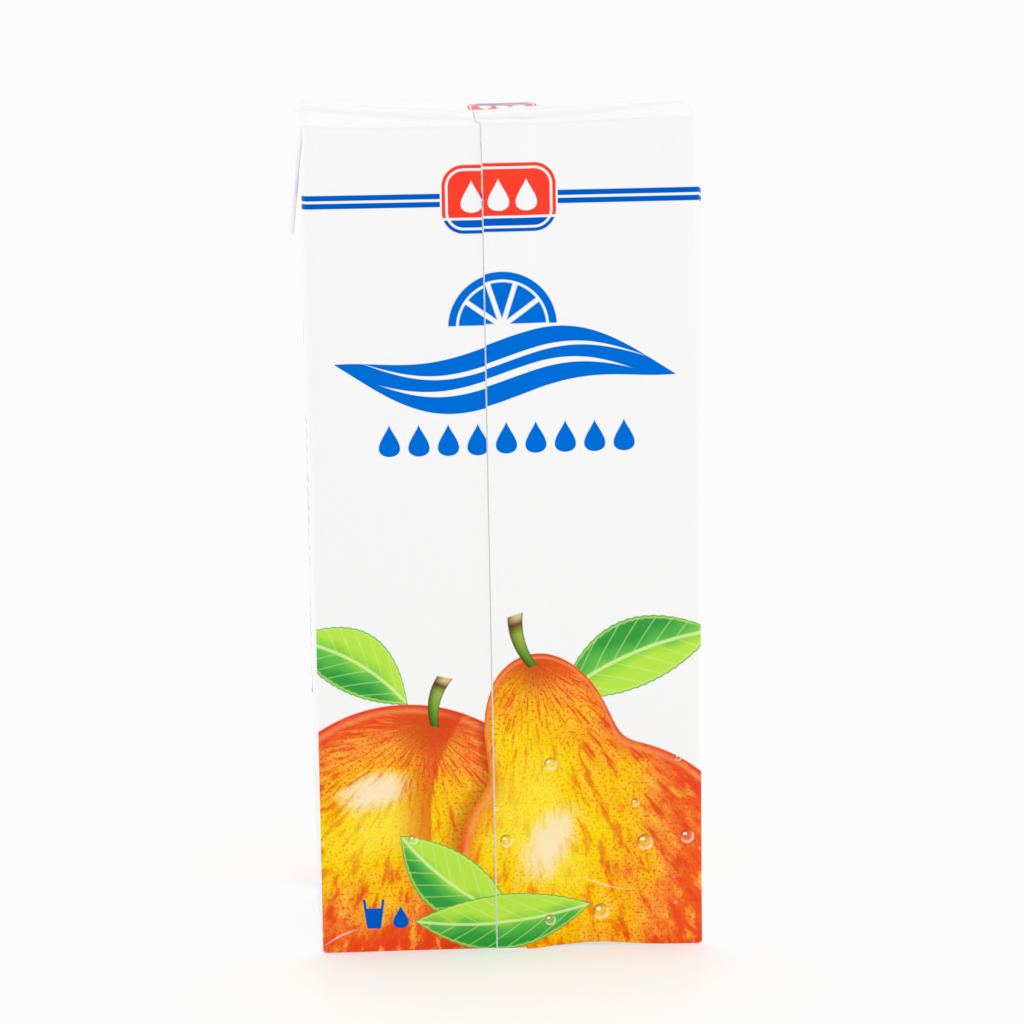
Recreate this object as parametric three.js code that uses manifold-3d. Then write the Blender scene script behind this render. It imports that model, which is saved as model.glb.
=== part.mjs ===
// A one litre brick carton for juice, folded from one sheet of coated board and sealed shut.
// Millimetres, +Z up. The origin is on the ground under the middle of the pack, and the wide
// panel with the lengthwise seam faces -Y.
import * as THREE from "three";
import { mergeVertices } from "three/addons/utils/BufferGeometryUtils.js";
import Module from "manifold-3d";

// Driving dimensions of the filled pack
const WIDTH = 90;
const DEPTH = 60;
const HEIGHT = 195;
const BOARD = 0.45;

// The upright creases are soft, and the creases round the top and bottom are tighter
const UPRIGHT_RADIUS = 1.6;
const RIM_RADIUS = 0.8;

// Liquid pushes the panels out, and the air left at the top lets the roof sink along its middle
const WIDE_BULGE = 1.2;
const NARROW_BULGE = 0.7;
const ROOF_DIP = 2.7;
const ROOF_DIP_POWER = 1.5;
const ROOF_DIP_REACH = { left: 44, right: 40 };
const FRONT_RIM = { sag: 0.75, slant: 0.9 };
const BACK_RIM = { sag: 0.5, slant: 0 };
const RIM_FADE = 14;

// Under the pack the panel is tucked up above the folded corners
const BASE_TUCK = 2;
const FRONT_HEM_LIFT = 0.15;
const HEM_KINK = { x: 20, lift: 0.9, spread: 9 };
const TUCK_REACH = 3;

// Lengthwise seam: the right part of the sheet lies over the left part
const SEAM_TOP_X = -4.4;
const SEAM_FOOT_X = -3.6;
const SEAM_OVERLAP = 9;
const SEAM_FADE = 4;
const SEAM_EDGE = 0.08;

// The fin is the pressed cross seam, and an ear is a folded corner of the pack
const FIN_WIDTH = 8;
const FIN_THICKNESS = 2 * BOARD;
const FIN_SUNK = 0.35;
const FIN_TILT = { left: 10, middle: 13, right: 2, ear: 4 };
const EAR_DROP = DEPTH / 2;
const EAR_THICKNESS = 2 * BOARD + 0.1;
const EAR_LIFT = { left: 5.2, right: 2 };
const EAR_TIP = 1.2;
const EAR_BEND_RADIUS = 1.3;

// Steps in the meshes
const COLUMNS = 14;
const SIDE_COLUMNS = 10;
const ROWS = 18;
const CORNER_STEPS = [Math.SQRT2 - 1, 1];
const BEND_STEPS = 5;

const halfWidth = WIDTH / 2;
const halfDepth = DEPTH / 2;
const wasm = await Module();
wasm.setup();

const smooth = (low, high, value) => THREE.MathUtils.smoothstep(value, low, high);
const radians = THREE.MathUtils.degToRad;

// Evenly spaced stations from one side to the other, with more in the two rounded corners
function stations(half, radius, count) {
  const core = half - radius;
  const inner = Array.from({ length: count + 1 }, (_, i) => -core + (2 * core * i) / count);
  const corner = CORNER_STEPS.map((step) => core + radius * step);
  return [...corner.map((value) => -value).reverse(), ...inner, ...corner];
}

// The closed surface of a box, as a grid through the given stations along each axis
function gridBox(xs, ys, zs) {
  const points = [];
  const numbers = new Map();
  const triangles = [];
  const point = (i, j, k) => {
    const key = `${i} ${j} ${k}`;
    if (!numbers.has(key)) {
      numbers.set(key, points.length);
      points.push(new THREE.Vector3(xs[i], ys[j], zs[k]));
    }
    return numbers.get(key);
  };
  const quad = (a, b, c, d) => triangles.push(a, b, c, a, c, d);
  const [nx, ny, nz] = [xs.length - 1, ys.length - 1, zs.length - 1];
  for (let i = 0; i < nx; i++) {
    for (let k = 0; k < nz; k++) {
      quad(point(i, 0, k), point(i + 1, 0, k), point(i + 1, 0, k + 1), point(i, 0, k + 1));
      quad(point(i, ny, k), point(i, ny, k + 1), point(i + 1, ny, k + 1), point(i + 1, ny, k));
    }
    for (let j = 0; j < ny; j++) {
      quad(point(i, j, 0), point(i, j + 1, 0), point(i + 1, j + 1, 0), point(i + 1, j, 0));
      quad(point(i, j, nz), point(i + 1, j, nz), point(i + 1, j + 1, nz), point(i, j + 1, nz));
    }
  }
  for (let j = 0; j < ny; j++) {
    for (let k = 0; k < nz; k++) {
      quad(point(0, j, k), point(0, j, k + 1), point(0, j + 1, k + 1), point(0, j + 1, k));
      quad(point(nx, j, k), point(nx, j + 1, k), point(nx, j + 1, k + 1), point(nx, j, k + 1));
    }
  }
  return { points, triangles };
}

// Moves a point of the box grid onto rounded edges
function roundEdges(p) {
  const middle = HEIGHT / 2;
  const radius = new THREE.Vector3(UPRIGHT_RADIUS, UPRIGHT_RADIUS, RIM_RADIUS);
  const half = new THREE.Vector3(halfWidth, halfDepth, middle);
  const inside = half.clone().sub(radius);
  const centred = new THREE.Vector3(p.x, p.y, p.z - middle);
  const core = centred.clone().clamp(inside.clone().negate(), inside);
  const out = centred.clone().sub(core).divide(radius).normalize().multiply(radius);
  return core.add(out).add(new THREE.Vector3(0, 0, middle));
}

const seamX = (z) => THREE.MathUtils.lerp(SEAM_FOOT_X, SEAM_TOP_X, z / HEIGHT);

// How far the doubled board of the seam stands out at a distance to the right of its edge
function seamRelief(distance) {
  const rise = smooth(-SEAM_EDGE, 0, distance);
  const fall = smooth(SEAM_OVERLAP, SEAM_OVERLAP + SEAM_FADE, distance);
  return BOARD * rise * (1 - fall);
}

// Height of the roof above or below its rim plane
function roofOffset(x, y) {
  const across = Math.min(1, Math.abs(y) / halfDepth);
  const along = Math.min(1, Math.abs(x) / halfWidth);
  const rim = y < 0 ? FRONT_RIM : BACK_RIM;
  const slant = (rim.slant * x * (1 - along ** 6)) / halfWidth;
  const reach = x < 0 ? ROOF_DIP_REACH.left : ROOF_DIP_REACH.right;
  const dip = ROOF_DIP * (1 - Math.min(1, Math.abs(x) / reach) ** ROOF_DIP_POWER);
  return slant * across - rim.sag * (1 - along ** 2) - dip * (1 - across);
}

// Height of the base panel above the ground
function baseOffset(x, y) {
  const across = Math.min(1, Math.abs(y) / halfDepth);
  const fromEnd = halfWidth - Math.abs(x);
  const tucked = smooth(0, TUCK_REACH, fromEnd);
  const lifted = 1 - Math.min(1, Math.abs(x) / halfWidth) ** 2;
  const kink = HEM_KINK.lift * Math.exp(-(((x - HEM_KINK.x) / HEM_KINK.spread) ** 2));
  const hem = y < 0 ? FRONT_HEM_LIFT * lifted + kink : FRONT_HEM_LIFT * lifted;
  const panel = THREE.MathUtils.lerp(EAR_THICKNESS, BASE_TUCK, lifted);
  return tucked * THREE.MathUtils.lerp(panel, hem, smooth(0.3, 0.94, across));
}

// Swells the panels, sinks the roof, tucks the base and raises the seam
function settle(p) {
  const up = Math.min(1, Math.max(0, p.z / HEIGHT));
  const swell = Math.sin(Math.PI * up) ** 0.7;
  const wide = 1 - Math.min(1, Math.abs(p.x) / halfWidth) ** 2;
  const narrow = 1 - Math.min(1, Math.abs(p.y) / halfDepth) ** 2;
  const moved = p.clone();
  moved.y += Math.sign(p.y) * WIDE_BULGE * swell * wide * smooth(0.9, 1, Math.abs(p.y) / halfDepth);
  moved.x += Math.sign(p.x) * NARROW_BULGE * swell * narrow * smooth(0.9, 1, Math.abs(p.x) / halfWidth);
  const relief = seamRelief(p.x - SEAM_FOOT_X);
  if (p.y < -halfDepth + UPRIGHT_RADIUS / 2) {
    moved.x += (seamX(p.z) - SEAM_FOOT_X) * Math.exp(-(((p.x - SEAM_FOOT_X) / WIDTH) ** 2) * 40);
    moved.y -= relief;
  }
  moved.z += roofOffset(p.x, p.y) * smooth(HEIGHT - RIM_FADE, HEIGHT, p.z);
  moved.z += baseOffset(p.x, p.y) * (1 - smooth(0, RIM_FADE, p.z));
  return moved;
}

// A THREE geometry, or points with triangles, as a solid
function solid(points, triangles) {
  const mesh = new wasm.Mesh({
    numProp: 3,
    vertProperties: Float32Array.from(points.flatMap((p) => [p.x, p.y, p.z])),
    triVerts: Uint32Array.from(triangles),
  });
  return new wasm.Manifold(mesh);
}

function solidFrom(geometry) {
  geometry.deleteAttribute("normal");
  geometry.deleteAttribute("uv");
  const merged = mergeVertices(geometry, 1e-4);
  const place = merged.getAttribute("position");
  const points = Array.from({ length: place.count }, (_, i) => new THREE.Vector3().fromBufferAttribute(place, i));
  return solid(points, Array.from(merged.index.array));
}

function filledBody() {
  const seamEdges = [SEAM_FOOT_X - SEAM_EDGE, SEAM_FOOT_X, SEAM_FOOT_X + SEAM_OVERLAP, SEAM_FOOT_X + SEAM_OVERLAP + SEAM_FADE];
  const clear = (WIDTH / COLUMNS) * 0.3;
  const xs = stations(halfWidth, UPRIGHT_RADIUS, COLUMNS)
    .filter((x) => seamEdges.every((edge) => Math.abs(x - edge) > clear))
    .concat(seamEdges)
    .sort((a, b) => a - b);
  const ys = stations(halfDepth, UPRIGHT_RADIUS, SIDE_COLUMNS);
  const zs = stations(HEIGHT / 2, RIM_RADIUS, ROWS).map((z) => z + HEIGHT / 2);
  const { points, triangles } = gridBox(xs, ys, zs);
  return solid(points.map((p) => settle(roundEdges(p))), triangles);
}

// Where an ear leaves the rim, and which way it hangs. side is -1 on the left and 1 on the right.
function earFrame(side) {
  const lift = radians(side < 0 ? EAR_LIFT.left : EAR_LIFT.right);
  return {
    bend: new THREE.Vector2(side * (halfWidth - 0.3), HEIGHT - EAR_BEND_RADIUS),
    down: new THREE.Vector2(side * Math.sin(lift), -Math.cos(lift)),
    out: new THREE.Vector2(side * Math.cos(lift), Math.sin(lift)),
  };
}

// The points of the bend over the rim, from the roof round to the outer face of the ear
function bendPoints(side, radius) {
  const { bend, out } = earFrame(side);
  const start = Math.PI / 2;
  const end = Math.atan2(out.y, out.x);
  return Array.from({ length: BEND_STEPS + 1 }, (_, i) => {
    const angle = THREE.MathUtils.lerp(start, end, i / BEND_STEPS);
    return new THREE.Vector2(Math.cos(angle), Math.sin(angle)).multiplyScalar(radius).add(bend);
  });
}

// A folded corner: flat board bent over the side rim, cut to a triangle with a blunt tip
function ear(side) {
  const { bend, down, out } = earFrame(side);
  const outer = bendPoints(side, EAR_BEND_RADIUS);
  const drop = EAR_DROP - EAR_BEND_RADIUS;
  const outerTip = outer[outer.length - 1].clone().addScaledVector(down, drop);
  const innerTip = outerTip.clone().addScaledVector(out, -EAR_THICKNESS);
  const innerTop = bend.clone().addScaledVector(out, EAR_BEND_RADIUS - EAR_THICKNESS);
  const buried = 2 * UPRIGHT_RADIUS;
  const profile = new THREE.Shape([
    new THREE.Vector2(bend.x - side * buried, HEIGHT - EAR_THICKNESS),
    new THREE.Vector2(bend.x - side * buried, HEIGHT - EAR_THICKNESS / 4),
    ...outer,
    outerTip,
    innerTip,
    innerTop,
  ]);
  const board = new THREE.ExtrudeGeometry(profile, { depth: DEPTH, bevelEnabled: false });
  board.translate(0, 0, -halfDepth).rotateX(Math.PI / 2);
  const reach = halfDepth - UPRIGHT_RADIUS / 2;
  const outline = new THREE.Shape([
    new THREE.Vector2(-reach, HEIGHT + RIM_RADIUS),
    new THREE.Vector2(-reach, HEIGHT - UPRIGHT_RADIUS / 2),
    new THREE.Vector2(-EAR_TIP, HEIGHT - EAR_DROP + EAR_TIP / 2),
    new THREE.Vector2(EAR_TIP, HEIGHT - EAR_DROP + EAR_TIP / 2),
    new THREE.Vector2(reach, HEIGHT - UPRIGHT_RADIUS / 2),
    new THREE.Vector2(reach, HEIGHT + RIM_RADIUS),
  ]);
  const cutter = new THREE.ExtrudeGeometry(outline, { depth: WIDTH, bevelEnabled: false });
  cutter.translate(0, 0, side < 0 ? -WIDTH : 0).rotateX(Math.PI / 2).rotateZ(Math.PI / 2);
  return solidFrom(board).intersect(solidFrom(cutter));
}

// Sections of the top fin, from the left tip over the roof to the right tip. Each has its
// place on the fold line, the direction away from the pack, and the lean of the fin.
function finSections() {
  const onEar = (side) => {
    const { down, out } = earFrame(side);
    const outer = bendPoints(side, EAR_BEND_RADIUS);
    const turns = outer.map((place) => place.clone().sub(earFrame(side).bend).normalize());
    const tip = outer[outer.length - 1].clone().addScaledVector(down, EAR_DROP - EAR_BEND_RADIUS);
    const lean = side < 0 ? FIN_TILT.left : FIN_TILT.right;
    return [
      { place: tip, away: out, tilt: FIN_TILT.ear },
      ...outer
        .map((place, i) => {
          const tilt = THREE.MathUtils.lerp(lean, FIN_TILT.ear, i / BEND_STEPS);
          return { place, away: turns[i], tilt };
        })
        .reverse(),
    ];
  };
  const reach = halfWidth - 2 * UPRIGHT_RADIUS;
  const span = Array.from({ length: COLUMNS + 1 }, (_, i) => -reach + (2 * reach * i) / COLUMNS);
  const over = span.map((x) => {
    const side = x < 0 ? FIN_TILT.left : FIN_TILT.right;
    const tilt = THREE.MathUtils.lerp(FIN_TILT.middle, side, (Math.abs(x) / reach) ** 2);
    return { place: new THREE.Vector2(x, HEIGHT + roofOffset(x, 0)), away: new THREE.Vector2(0, 1), tilt };
  });
  return [...onEar(-1), ...over, ...onEar(1).reverse()];
}

// The top fin is a flat strip that leans to the back along the whole cross seam
function topFin() {
  const points = [];
  const sections = finSections();
  for (const { place, away, tilt } of sections) {
    const angle = radians(tilt);
    const out = new THREE.Vector3(away.x, 0, away.y);
    const back = new THREE.Vector3(0, 1, 0);
    const across = back.clone().multiplyScalar(Math.cos(angle)).addScaledVector(out, Math.sin(angle));
    const thick = out.clone().multiplyScalar(Math.cos(angle)).addScaledVector(back, -Math.sin(angle));
    const foot = new THREE.Vector3(place.x, 0, place.y).addScaledVector(out, -FIN_SUNK);
    for (const [along, raised] of [[0, 0], [1, 0], [1, 1], [0, 1]]) {
      const corner = foot.clone().addScaledVector(across, along * FIN_WIDTH);
      points.push(corner.addScaledVector(thick, raised * FIN_THICKNESS));
    }
  }
  const last = 4 * (sections.length - 1);
  const triangles = [0, 2, 1, 0, 3, 2, last, last + 1, last + 2, last, last + 2, last + 3];
  for (let ring = 0; ring < last; ring += 4) {
    for (let i = 0; i < 4; i++) {
      const next = (i + 1) % 4;
      triangles.push(ring + i, ring + next, ring + 4 + next, ring + i, ring + 4 + next, ring + 4 + i);
    }
  }
  return solid(points, triangles);
}

// A flat prism on the ground plane, from an outline seen from above
function slab(outline, low, high) {
  const shape = new THREE.Shape(outline.map(([x, y]) => new THREE.Vector2(x, y)));
  const geometry = new THREE.ExtrudeGeometry(shape, { depth: high - low, bevelEnabled: false });
  return solidFrom(geometry.translate(0, 0, low));
}

// A corner of the pack folded flat under the base, which the pack stands on
function footEar(side) {
  const root = side * (halfWidth - RIM_RADIUS);
  const tip = side * (halfWidth - EAR_DROP);
  const reach = halfDepth - UPRIGHT_RADIUS;
  const outline = [[root, -reach], [root, reach], [tip, EAR_TIP], [tip, -EAR_TIP]];
  return slab(outline, 0, EAR_THICKNESS + 0.4);
}

// The middle of the bottom fin, folded to the front between the two foot ears
function footFin() {
  const reach = halfWidth - EAR_DROP + EAR_TIP;
  return slab([[-reach, -FIN_WIDTH], [reach, -FIN_WIDTH], [reach, 0], [-reach, 0]], FIN_SUNK, BASE_TUCK + 0.4);
}

function cartonGeometry() {
  const pieces = [ear(-1), ear(1), topFin(), footEar(-1), footEar(1), footFin()];
  const whole = pieces.reduce((body, piece) => body.add(piece), filledBody());
  const mesh = whole.getMesh();
  const geometry = new THREE.BufferGeometry();
  geometry.setAttribute("position", new THREE.BufferAttribute(mesh.vertProperties, 3));
  geometry.setIndex(new THREE.BufferAttribute(mesh.triVerts, 1));
  geometry.computeVertexNormals();
  return geometry;
}

const coatedBoard = new THREE.MeshStandardMaterial({ color: 0xf4f4f2, roughness: 0.42, metalness: 0 });
const carton = new THREE.Mesh(cartonGeometry(), coatedBoard);
carton.name = "carton";

const pack = new THREE.Group();
pack.add(carton);

export default pack;
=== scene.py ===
"""A shut one litre brick carton for juice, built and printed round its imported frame."""

from math import cos, exp, hypot, pi, radians, sin

import bmesh
import bpy
from bpy.props import FloatProperty, FloatVectorProperty, PointerProperty
from bpy.types import Operator, Panel, PropertyGroup
from mathutils import Matrix, Vector, noise


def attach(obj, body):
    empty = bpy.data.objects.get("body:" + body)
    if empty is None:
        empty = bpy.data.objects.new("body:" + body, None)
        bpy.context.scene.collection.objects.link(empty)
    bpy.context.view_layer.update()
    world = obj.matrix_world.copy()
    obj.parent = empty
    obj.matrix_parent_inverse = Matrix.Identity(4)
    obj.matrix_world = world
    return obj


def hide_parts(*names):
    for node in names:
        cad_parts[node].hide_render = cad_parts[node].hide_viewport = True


bl_info = {
    "name": "Brick Carton",
    "version": (1, 0, 0),
    "blender": (4, 5, 0),
    "location": "3D View > Sidebar > Carton",
    "description": "Folds and prints a one litre brick carton round its packed frame",
    "category": "Object",
}

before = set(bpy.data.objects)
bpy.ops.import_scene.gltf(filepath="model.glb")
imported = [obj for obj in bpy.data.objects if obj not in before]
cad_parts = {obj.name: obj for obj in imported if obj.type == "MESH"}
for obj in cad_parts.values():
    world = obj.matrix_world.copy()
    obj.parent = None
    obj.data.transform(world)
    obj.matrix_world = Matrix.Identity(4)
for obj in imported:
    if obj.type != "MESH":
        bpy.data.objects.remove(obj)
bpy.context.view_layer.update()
MM = 0.001

# Creases of the board: the upright ones are soft, the ones round roof and base are tight
UPRIGHT_RADIUS = 1.6 * MM
RIM_RADIUS = 0.8 * MM

# The filled pack swells, its roof sinks along the fin, and its base is tucked up.
# Where the two ends differ, -1 stands for the left one and 1 for the right one.
WIDE_BULGE = 1.2 * MM
NARROW_BULGE = 0.7 * MM
CORNER_FLARE = 0.85 * MM
FLARE_HEIGHT = 176 * MM
FLARE_FROM = {-1: 100 * MM, 1: 0}
FLARE_LOST_AT_RIM = 0.65
WAVINESS = 0.1 * MM
WAVE_LENGTH = 26 * MM
ROOF_DIP = 2.7 * MM
ROOF_DIP_POWER = 1.5
ROOF_DIP_REACH = {-1: 44 * MM, 1: 40 * MM}
FRONT_RIM_SAG = 0.75 * MM
FRONT_RIM_SLANT = 0.9 * MM
BACK_RIM_SAG = 0.5 * MM
RIM_FADE = 14 * MM
BASE_TUCK = 2 * MM
TUCK_REACH = 3 * MM
HEM_LIFT = 0.15 * MM
HEM_KINK_X = 20 * MM
HEM_KINK_LIFT = 0.9 * MM
HEM_KINK_SPREAD = 9 * MM

# Lengthwise seam: x at the foot and the top, then the relief across it as
# (distance to the right of the overlapping edge, height over the panel)
SEAM_FOOT_X = -3.6 * MM
SEAM_TOP_X = -4.4 * MM
SEAM_PROFILE = (
    (-0.34 * MM, 0),
    (-0.3 * MM, -0.28 * MM),
    (-0.18 * MM, -0.28 * MM),
    (-0.14 * MM, 0.15 * MM),
    (0, 0.45 * MM),
    (9 * MM, 0.45 * MM),
    (13 * MM, 0),
)

# Fin and ears, with angles in degrees
FIN_SUNK = 0.5 * MM
FIN_FOOT = 2.4 * MM
FIN_TILT = {-1: 10, 0: 13, 1: 2}
FIN_TILT_ON_EAR = 4
FIN_DIMPLE_X = -2.5 * MM
FIN_DIMPLE_SPREAD = 7 * MM
FIN_DIMPLE_TILT = 7
FIN_GROOVES = (2.2 * MM, 5.6 * MM)
FIN_GROOVE_DEPTH = 0.14 * MM
FIN_GROOVE_HALF = 0.45 * MM
EAR_BEND_RADIUS = 1.3 * MM
EAR_BEND_X = 44.7 * MM
EAR_LIFT = {-1: 5, 1: 1.2}
EAR_TIP = 1.2 * MM
EAR_PUFF = 0.15 * MM
EAR_HIDDEN = 0.9 * MM
EAR_PRESS = 0.6 * MM
EAR_SHORTER = 0.9 * MM
EAR_SUNK = 0.3 * MM
FOLD_RADIUS = 0.38 * MM
FOOT_FIN_LIFT = 0.5 * MM

# Dents of handling on the front, as (start, end, depth, half width) with places as (x, z)
FRONT_DENTS = (
    ((36.5 * MM, 189.5 * MM), (43 * MM, 195 * MM), 0.35 * MM, 1.5 * MM),
    ((-36 * MM, 6.2 * MM), (-45 * MM, 1.5 * MM), 0.45 * MM, 1.7 * MM),
    ((15 * MM, 17 * MM), (28 * MM, 12.5 * MM), 0.25 * MM, 1.8 * MM),
)

# Places and sizes of the print, in millimetres across and up a panel
PANEL_HEIGHT = 195
STRIPES_UP = (178.0, 176.15)
STRIPE_HALF = 0.62
STRIPE_BREAK = 13.6
BREAK_UNDER_EAR = 10
BADGE = (-0.6, 177.2)
BADGE_HALF = (13.2, 7.9)
BADGE_CORNER = 5.0
ROOF_BADGE = (2.5, 15.4)
ROOF_BADGE_SHRINK = 0.62
HALF_SLICE = (-0.2, 147.5)
HALF_SLICE_RADIUS = 12.6
RIBBON = (0.3, 137.5)
RIBBON_HALF = (39.5, 7.2)
RIBBON_WAVE = (3.6, 66)
GLASS = (-32.5, 9.4)
GLASS_HALF = 3.6
PRINT_SLIP = (0.25, -0.35, 0)

# White lines in the ribbon, as (half length, half height, lift)
RIBBON_LINES = ((33, 0.6, 2.2), (29, 0.9, -1.6))

# Rows of drops, as (centre, pitch, half height, count)
WIDE_DROPS = ((0.4, 121.8), 6.8, 3.9, 9)
NARROW_DROPS = ((0, 146), 9, 5, 3)
BADGE_DROPS = ((0, 0.8), 6.4, 3.9, 3)

# Narrow panels: two blocks of grey rows as (middle, half height), a ring and a ruled frame
ROW_BLOCKS = ((107.1, 18.6), (74.8, 6.7))
ROW_PITCH = 3.4
ROW_HALVES = (12.0, 23.0)
BLUE_RING = ((0, 61), (13, 3.4))
RULED_FRAME = (0, 25)
FRAME_HALF = (25.5, 16.5)
FRAME_CORNER = 2.5
RULED_HALF = (22.5, 14.5)
RULE_PITCH = 5.5

# The fruit picture, as (centre, size) and then turn in degrees and curl, where a motif has them
LEAVES_BEHIND = (((29, 70), (20, 8.2), 22, 0.35), ((-36, 70), (16, 7.5), 150, -0.4))
LEAVES_BEFORE = (((-14, 16), (17, 7.5), 142, 0.3), ((-2, 6.5), (21, 6.8), 184, 0.35))
ROUND_FRUIT = ((-24, 26), (35.5, 33.5))
ROUND_STALK = ((-17.5, 60.2), (6, 1.35), 78, 1.0)
PEAR_BODY = ((21.5, 20), (34, 30), -6)
PEAR_NECK = ((9.5, 50), (15, 21), 15)
PEAR_STALK = ((2.6, 73.4), (6.5, 1.4), 108, 0.9)
DRY_ROUND_GLASS = ((-26, 9), (15, 7))

# Scuffed creases, as (centre, size, turn, curl, how much of the ink is gone)
SCUFFS = (((-40.4, 4.2), (5.4, 0.3), 26, 2.5, 0.6), ((21.5, 14.8), (6.8, 0.26), -19, -2, 0.5))

# Camera, worked out from the edges in the photograph: azimuth, elevation and roll in degrees
CAMERA_ANGLES = (-2.726, 10.511, -0.852)
CAMERA_AIM = (2.686 * MM, 0, 98.681 * MM)
CAMERA_DISTANCE = 1260.9 * MM
CAMERA_LENS = 187.19

# Even light of the studio, and the glow of its floor
STUDIO_LIGHT = 0.925
FLOOR_GLOW = 0.3

# Darkest and brightest light that the picture keeps apart
BLACK_LEVEL = 0.04
WHITE_LEVEL = 0.973

# Soft boxes, low at the sides and high behind: name, place and size in metres, power in watts
SOFT_BOXES = (
    ("box_left", (-1.2, 0.15, 0.26), (1.2, 0.5), 1.1),
    ("box_right", (1.2, 0.15, 0.26), (1.2, 0.5), 2),
    ("box_back", (0, 2.4, 1.5), (3, 2), 5),
    ("box_front", (1.3, -1.9, 0.8), (1.6, 1.2), 3),
)


def linear(colour):
    """A colour written as an sRGB hex value, in linear light, and any other value as it is."""
    if not isinstance(colour, str):
        return colour
    parts = [int(colour[i:i + 2], 16) / 255 for i in (1, 3, 5)]
    return (*(p / 12.92 if p <= 0.04045 else ((p + 0.055) / 1.055) ** 2.4 for p in parts), 1.0)


def size_property(label, text, millimetres):
    default = millimetres * MM
    return FloatProperty(name=label, description=text, default=default, unit="LENGTH", precision=4)


def colour_property(label, text, colour):
    default = linear(colour)
    return FloatVectorProperty(name=label, description=text, default=default, subtype="COLOR", size=4)


class CartonSizes(PropertyGroup):
    """Real sizes of the filled pack"""

    width: size_property("Width", "Width of the wide panels", 90)
    depth: size_property("Depth", "Width of the narrow panels", 60)
    height: size_property("Height", "Height of the roof's rim", PANEL_HEIGHT)
    board: size_property("Board", "Thickness of one layer of coated board", 0.45)
    fin_width: size_property("Fin width", "Width of the pressed cross seam", 8)
    ear_drop: size_property("Ear drop", "How far an ear hangs down from the rim", 30)


class CartonColours(PropertyGroup):
    """Inks of the print, and the board itself"""

    board: colour_property("Board", "White coated board", "#F8F8F8")
    cut_paper: colour_property("Cut paper", "Paper core at a cut edge", "#F1EFEA")
    stripe: colour_property("Stripe", "Blue of the stripes and marks", "#005EC8")
    title: colour_property("Title", "Blue of the ribbon and the slice", "#006FD9")
    badge: colour_property("Badge", "Red of the badge", "#FF4433")
    grey: colour_property("Grey", "Grey of the fine rows on the narrow panels", "#A9AFB8")
    shine: colour_property("Shine", "Palest place on a fruit", "#FFEBC4")
    yellow: colour_property("Yellow", "Ripe yellow of a fruit", "#FBD916")
    orange: colour_property("Orange", "Orange of a fruit", "#FB9A3C")
    red: colour_property("Red", "Red cheek of a fruit", "#F04A34")
    leaf_light: colour_property("Light leaf", "Lit half of a leaf", "#9CDC45")
    leaf_deep: colour_property("Deep leaf", "Shaded half of a leaf", "#3AA044")
    stalk: colour_property("Stalk", "Brown end of a stalk", "#6E4A26")
    floor: colour_property("Floor", "Studio floor", "#DADADA")


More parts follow.
